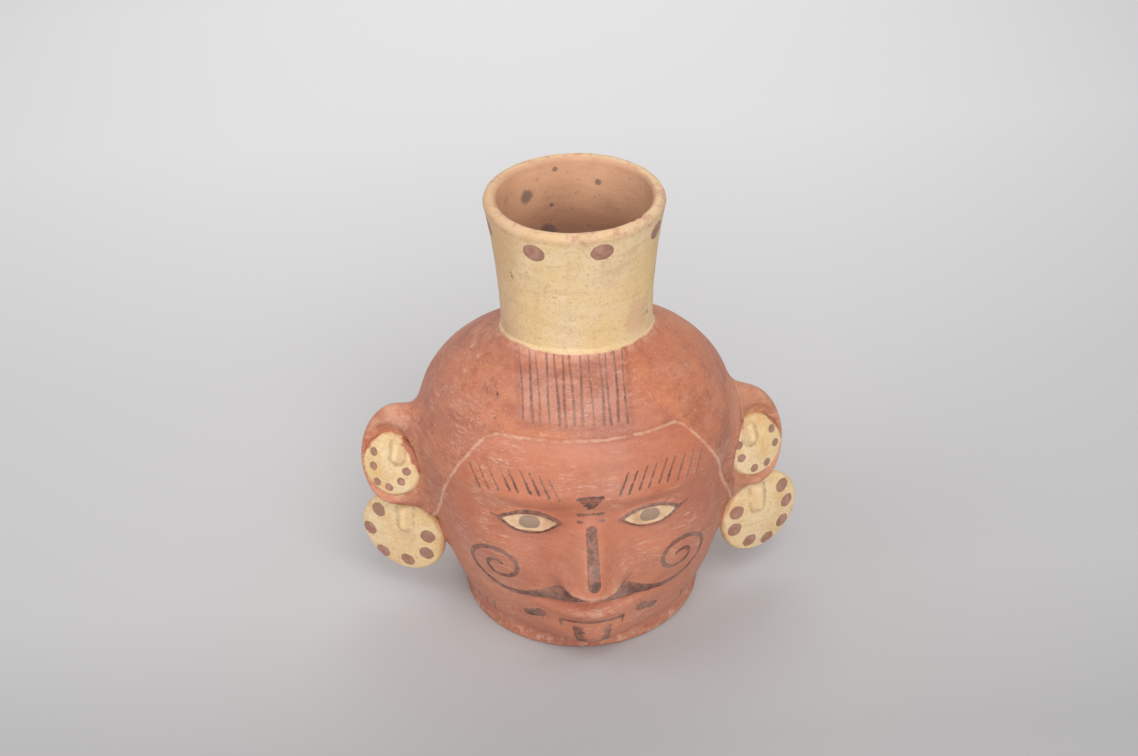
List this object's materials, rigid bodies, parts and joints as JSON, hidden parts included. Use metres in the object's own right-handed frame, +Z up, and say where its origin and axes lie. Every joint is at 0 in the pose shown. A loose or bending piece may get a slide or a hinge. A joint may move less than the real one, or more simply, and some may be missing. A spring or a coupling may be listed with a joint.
{
  "type": "portrait vessel",
  "caption": "Hollow head-shaped pottery jar with a flaring neck, applied ears and hanging ear discs, on a flat round foot.",
  "frame": {"origin": "middle of the foot's underside", "axes": "+Z up along the neck's axis, -Y the way the face looks, +X to the viewer's right"},
  "size_m": [0.1934, 0.146, 0.1945],
  "materials": {
    "red_slip": "burnished orange-red slip on fired clay, worn, with dark painted lines",
    "cream_slip": "burnished cream slip on fired clay, specked, with maroon painted spots",
    "bare_clay": "bare orange-brown fired clay, matt"
  },
  "bodies": {
    "root": {"face_half": "red_slip", "back_half": "red_slip", "floor_disc": "bare_clay", "neck_collar": "cream_slip", "neck_root_roll": "cream_slip", "right_ear": "red_slip", "left_ear": "red_slip", "right_upper_disc": "cream_slip", "left_upper_disc": "cream_slip", "right_lower_disc": "cream_slip", "left_lower_disc": "cream_slip", "right_upper_tongue": "cream_slip", "left_upper_tongue": "cream_slip", "right_lower_tongue": "cream_slip", "left_lower_tongue": "cream_slip", "right_seam_coil": "bare_clay", "left_seam_coil": "bare_clay", "floor_coil": "bare_clay"}
  },
  "joints": []
}
